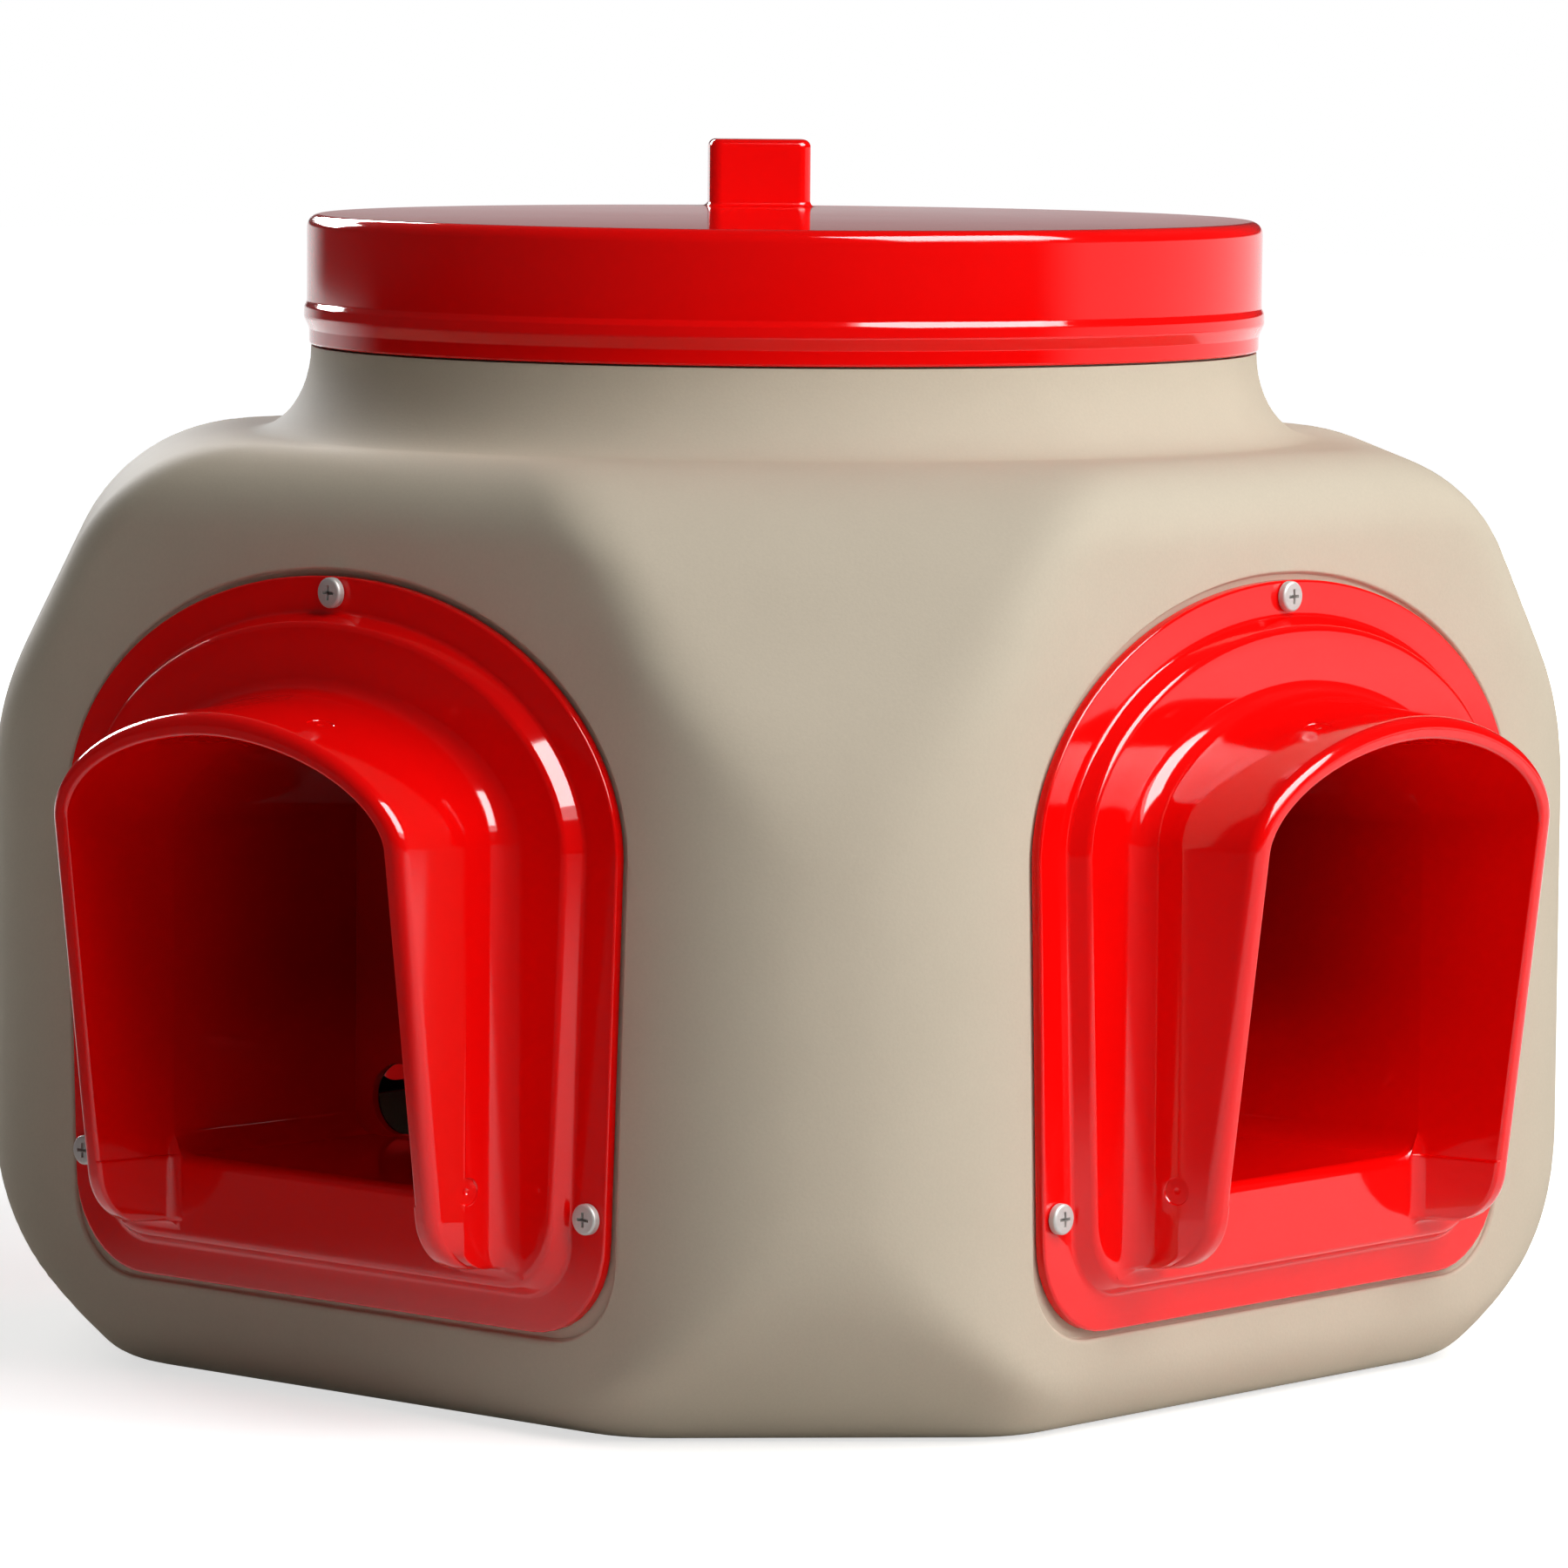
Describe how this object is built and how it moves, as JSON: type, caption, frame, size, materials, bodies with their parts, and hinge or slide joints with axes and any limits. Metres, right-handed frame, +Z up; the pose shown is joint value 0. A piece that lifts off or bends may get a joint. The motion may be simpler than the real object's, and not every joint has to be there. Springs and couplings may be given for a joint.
{
  "type": "chicken feeder",
  "caption": "Free-standing rounded square poultry feed hopper with a hooded feeding port screwed to each face and a round lift-off lid with a grip lug.",
  "frame": {"origin": "middle of the flat base, on the ground", "axes": "+Z up; the four ports look along -Y (front), +X (right), +Y (back) and -X (left)"},
  "size_m": [0.506, 0.506, 0.3758],
  "materials": {
    "hopper_plastic": "matte, finely grained rotomoulded polyethylene",
    "red_plastic": "glossy moulded plastic",
    "screw_zinc": "bright zinc plate",
    "insert_brass": "plain turned",
    "seal_rubber": "plain"
  },
  "bodies": {
    "hopper_body": {"hopper": "hopper_plastic", "feed_port_front": "red_plastic", "port_screw_front_top": "screw_zinc", "screw_insert_front_top": "insert_brass", "port_screw_front_left": "screw_zinc", "screw_insert_front_left": "insert_brass", "port_screw_front_right": "screw_zinc", "screw_insert_front_right": "insert_brass", "feed_port_right": "red_plastic", "port_screw_right_top": "screw_zinc", "screw_insert_right_top": "insert_brass", "port_screw_right_left": "screw_zinc", "screw_insert_right_left": "insert_brass", "port_screw_right_right": "screw_zinc", "screw_insert_right_right": "insert_brass", "feed_port_back": "red_plastic", "port_screw_back_top": "screw_zinc", "screw_insert_back_top": "insert_brass", "port_screw_back_left": "screw_zinc", "screw_insert_back_left": "insert_brass", "port_screw_back_right": "screw_zinc", "screw_insert_back_right": "insert_brass", "feed_port_left": "red_plastic", "port_screw_left_top": "screw_zinc", "screw_insert_left_top": "insert_brass", "port_screw_left_left": "screw_zinc", "screw_insert_left_left": "insert_brass", "port_screw_left_right": "screw_zinc", "screw_insert_left_right": "insert_brass"},
    "lid": {"lid": "red_plastic", "lid_seal": "seal_rubber"}
  },
  "joints": [
    {"name": "lid_lift", "type": "slide", "parent": "hopper_body", "child": "lid", "axis": [0, 0, 1], "range_m": [0, 0.08]}
  ]
}
